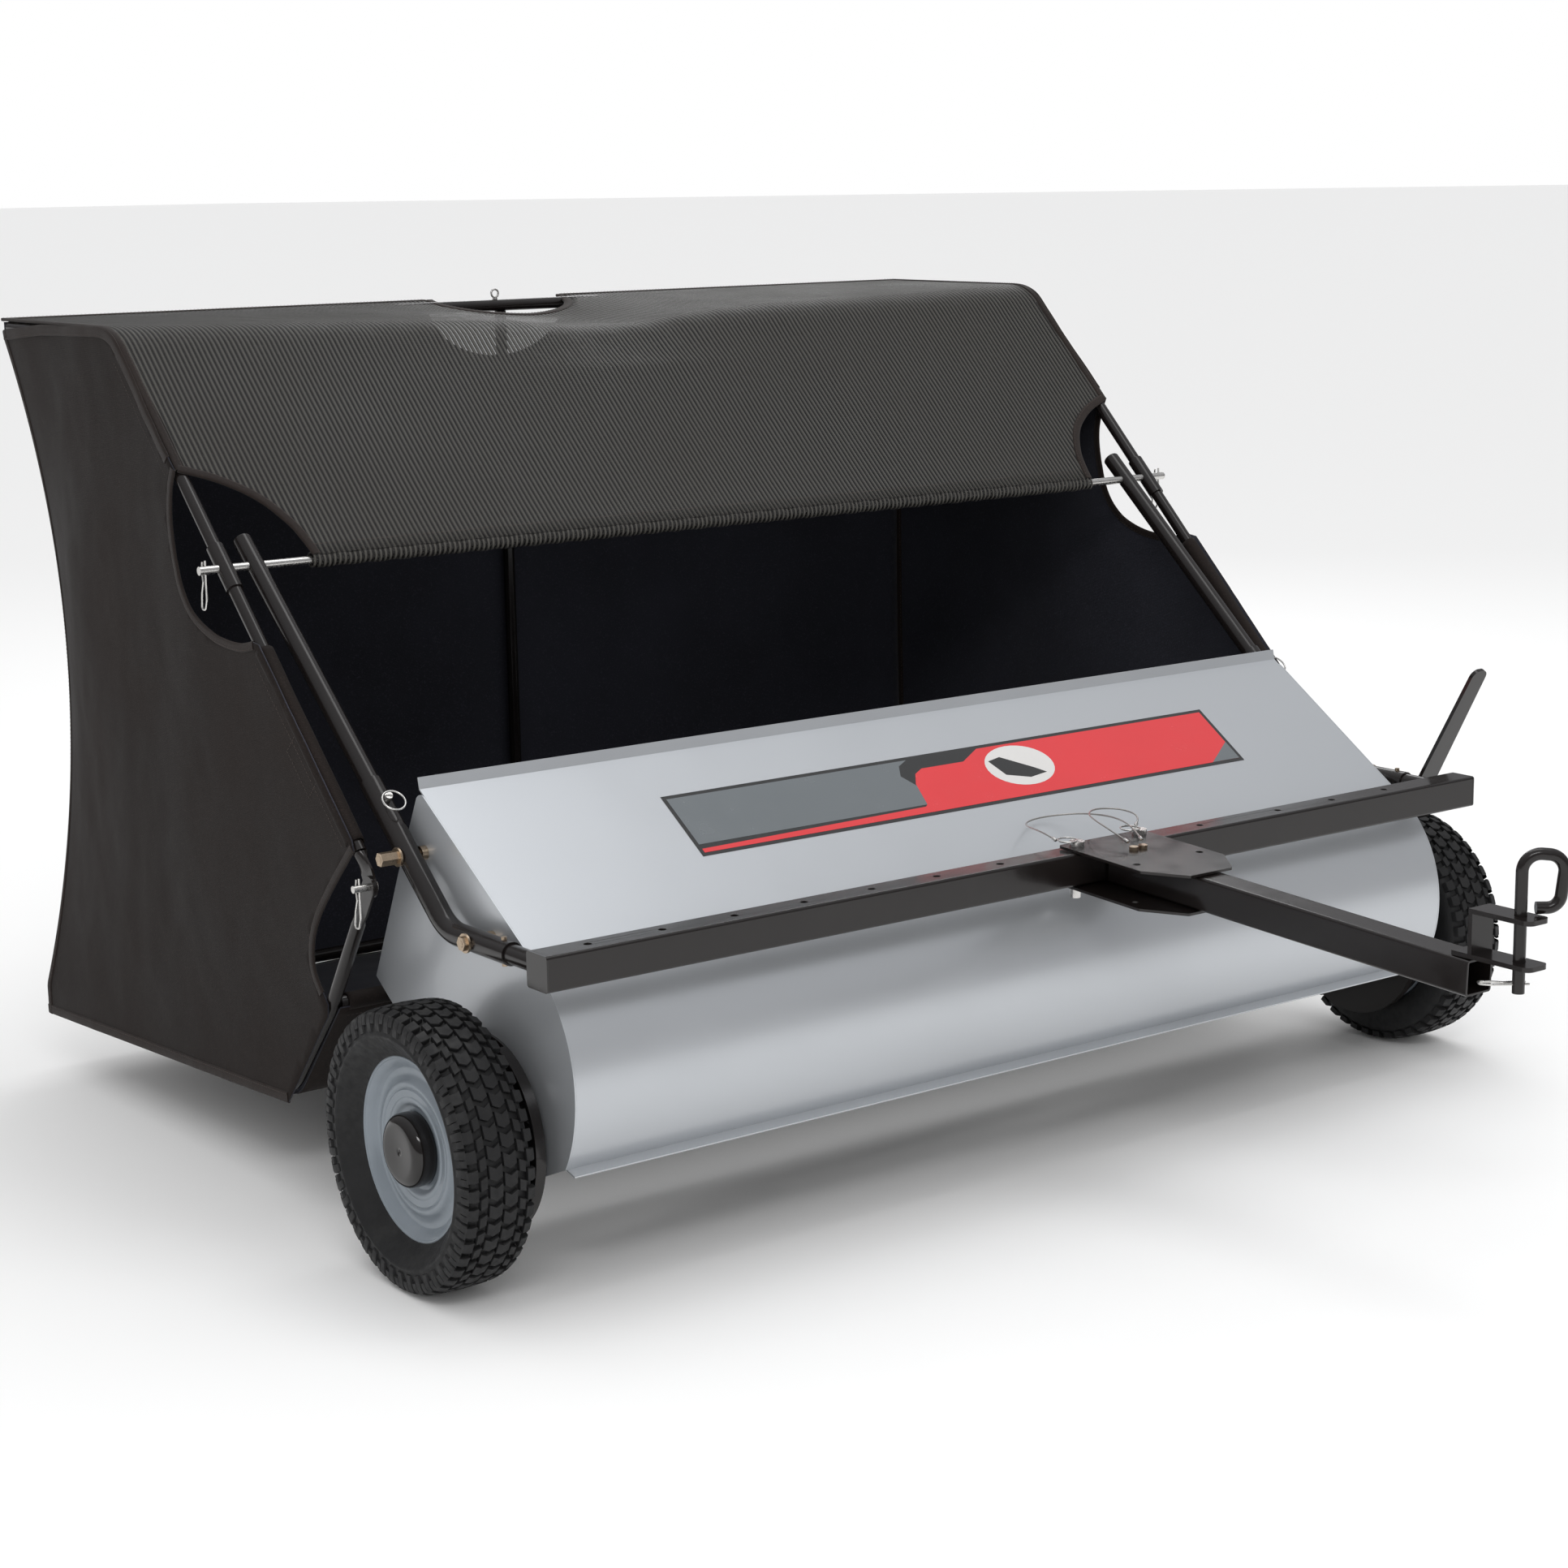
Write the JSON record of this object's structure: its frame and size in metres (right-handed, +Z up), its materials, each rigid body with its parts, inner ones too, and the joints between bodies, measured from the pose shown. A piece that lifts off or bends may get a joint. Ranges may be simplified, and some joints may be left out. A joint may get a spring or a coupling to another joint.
{
  "type": "lawn sweeper",
  "caption": "Tow-behind lawn sweeper with wheel-driven brush in a steel housing, drawbar tongue and hitch pin, height lever, and a framed fabric hopper that tips to dump.",
  "frame": {"origin": "on the ground, midway between the front tip of the hitch and the rear fabric, on the machine's middle plane", "axes": "+Z up, -Y the towing direction, +X to the side with the height lever"},
  "size_m": [1.55, 1.7977, 0.9831],
  "materials": {
    "housing_paint": "light silver-grey gloss enamel",
    "label_print": "printed film, plain grey and red bands with a black border",
    "black_paint": "gloss black powder coat",
    "zinc_plate": "bright zinc plate",
    "yellow_zinc": "yellow zinc plate",
    "tyre_rubber": "moulded semi-solid rubber",
    "rim_paint": "grey enamel on stamped steel",
    "cap_plastic": "moulded gloss black",
    "gear_plastic": "moulded nylon",
    "bristle_fibre": "crimped polypropylene bristle",
    "bag_fabric": "matte coated woven polyester",
    "mesh_fabric": "open black mesh with fine ribs",
    "lanyard_cable": "thin coated steel cable"
  },
  "bodies": {
    "chassis": {"arm_clip_pins": "zinc_plate", "arm_tube_left": "black_paint", "arm_tube_right": "black_paint", "brush_bearings": "gear_plastic", "crossbar": "black_paint", "crossbar_stubs": "black_paint", "drawbar_tube_left": "black_paint", "drawbar_tube_right": "black_paint", "frame_bolts": "yellow_zinc", "hitch_clevis": "black_paint", "housing_cover": "housing_paint", "label_panel": "label_print", "lanyard_left": "lanyard_cable", "lanyard_right": "lanyard_cable", "side_plate_left": "housing_paint", "side_plate_right": "housing_paint", "tongue": "black_paint", "tongue_bolts": "yellow_zinc", "tongue_pins": "zinc_plate", "tongue_plate_bottom": "black_paint", "tongue_plate_top": "black_paint", "tube_end_caps": "cap_plastic"},
    "carriage": {"wheel_arm_left": "black_paint", "wheel_arm_right": "black_paint", "carriage_link_tube": "black_paint", "axle_bolts": "zinc_plate", "height_lever": "black_paint"},
    "wheel_left": {"tyre_left": "tyre_rubber", "rim_left": "rim_paint", "hub_cap_left": "cap_plastic", "ring_gear_left": "gear_plastic"},
    "wheel_right": {"tyre_right": "tyre_rubber", "rim_right": "rim_paint", "hub_cap_right": "cap_plastic", "ring_gear_right": "gear_plastic"},
    "brush": {"brush_shaft": "zinc_plate", "brush_core": "black_paint", "brush_bristles": "bristle_fibre", "pinions": "gear_plastic"},
    "hopper": {"bag_floor": "bag_fabric", "bag_rear": "bag_fabric", "bag_side_left": "bag_fabric", "bag_side_right": "bag_fabric", "bag_top_mesh": "mesh_fabric", "hopper_floor_cross_tubes": "black_paint", "hopper_floor_tube_left": "black_paint", "hopper_floor_tube_right": "black_paint", "hopper_front_tube_left": "black_paint", "hopper_front_tube_right": "black_paint", "hopper_hairpins": "zinc_plate", "hopper_low_pins": "zinc_plate", "hopper_pivot_rod": "zinc_plate", "hopper_rear_top_tube": "black_paint", "hopper_sleeves": "black_paint", "hopper_top_tube_left": "black_paint", "hopper_top_tube_right": "black_paint", "hopper_upright": "black_paint", "dump_rope_eye": "zinc_plate"},
    "hitch_pin": {"hitch_pin": "black_paint", "hitch_hairpin": "zinc_plate"}
  },
  "joints": [
    {"name": "height_adjust", "type": "hinge", "parent": "chassis", "child": "carriage", "pos_m": [0, -0.11315, 0.2214], "axis": [-1, 0, 0], "range_deg": [0, 50]},
    {"name": "wheel_left_spin", "type": "hinge", "parent": "carriage", "child": "wheel_left", "pos_m": [0, -0.11315, 0.1524], "axis": [1, 0, 0], "continuous": true},
    {"name": "wheel_right_spin", "type": "hinge", "parent": "carriage", "child": "wheel_right", "pos_m": [0, -0.11315, 0.1524], "axis": [1, 0, 0], "continuous": true},
    {"name": "brush_spin", "type": "hinge", "parent": "carriage", "child": "brush", "pos_m": [0, -0.11315, 0.2214], "axis": [1, 0, 0], "continuous": true},
    {"name": "hopper_dump", "type": "hinge", "parent": "chassis", "child": "hopper", "pos_m": [0, 0.3386, 0.71037], "axis": [1, 0, 0], "range_deg": [0, 90]},
    {"name": "hitch_pin_swivel", "type": "hinge", "parent": "chassis", "child": "hitch_pin", "pos_m": [0.082, -0.86715, 0.3835], "axis": [0, 0, 1], "continuous": true}
  ],
  "couplings": [
    {"joint": "wheel_right_spin", "follows": "wheel_left_spin", "ratio": 1},
    {"joint": "brush_spin", "follows": "wheel_left_spin", "ratio": 5.6}
  ]
}
